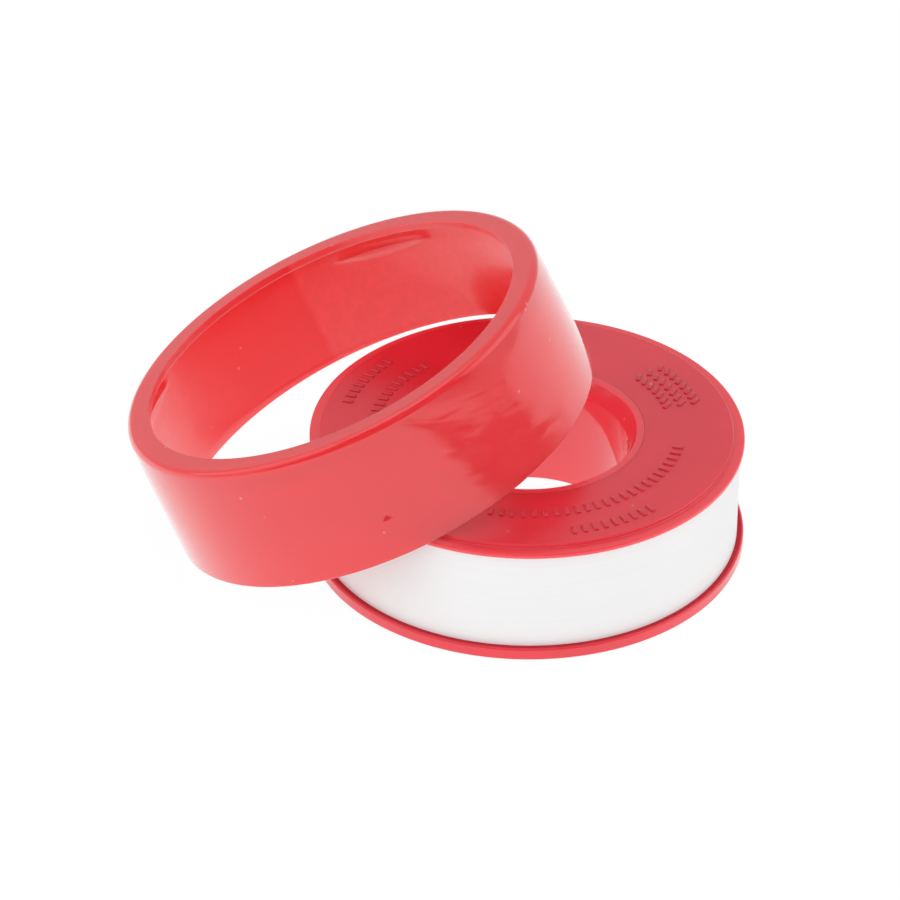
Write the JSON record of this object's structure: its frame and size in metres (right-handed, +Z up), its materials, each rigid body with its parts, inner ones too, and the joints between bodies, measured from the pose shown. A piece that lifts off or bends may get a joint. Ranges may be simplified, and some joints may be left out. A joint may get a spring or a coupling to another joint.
{
  "type": "thread seal tape roll",
  "caption": "Flat flanged spool wound with white thread seal tape, with a red ring cover that slips over the flanges, taken off and leaning on the spool's rim.",
  "frame": {"origin": "centre of the bore at the spool's lower face, which lies on the table", "axes": "+Z up along the bore; the cover leans down towards -X; +Y away from the picture's viewer"},
  "size_m": [0.0716, 0.0522, 0.035],
  "materials": {
    "spool_red": "moulded, satin to glossy",
    "tape_white": "soft, matte, faintly waxy",
    "cover_red": "moulded, glossy, lightly scuffed"
  },
  "bodies": {
    "spool": {"spool_base": "spool_red", "upper_flange": "spool_red", "tape_core": "tape_white", "tape_outer_wrap": "tape_white"},
    "cover": {"cover_ring": "cover_red"}
  },
  "joints": [
    {"name": "cover_lift", "type": "slide", "parent": "spool", "child": "cover", "axis": [0, 0, 1], "range_m": [0, 0.03]}
  ]
}
